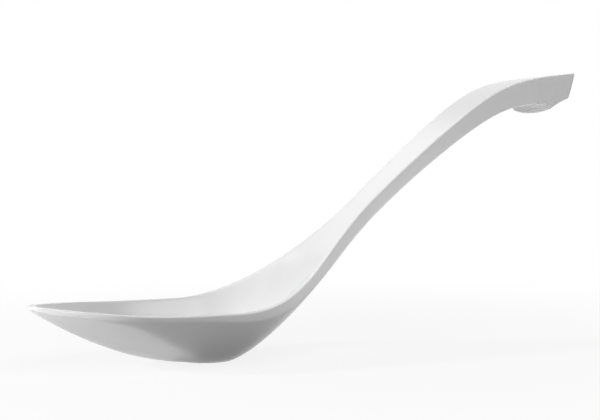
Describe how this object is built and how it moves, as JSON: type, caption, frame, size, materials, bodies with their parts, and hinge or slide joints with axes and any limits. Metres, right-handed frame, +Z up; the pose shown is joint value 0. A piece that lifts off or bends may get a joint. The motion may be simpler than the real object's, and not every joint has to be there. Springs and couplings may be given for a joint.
{
  "type": "serving spoon",
  "caption": "One-piece moulded serving spoon: leaf-shaped bowl on a flat foot, steep flared handle and a hooked lip under the handle's end.",
  "frame": {"origin": "middle of the spoon's length and width, level with the flat foot under the bowl", "axes": "+X from the bowl's tip to the handle's end, +Y across the spoon, +Z up from the foot"},
  "size_m": [0.2697, 0.073, 0.1299],
  "materials": {
    "white_melamine": "gloss"
  },
  "bodies": {
    "root": {"spoon": "white_melamine"}
  },
  "joints": []
}
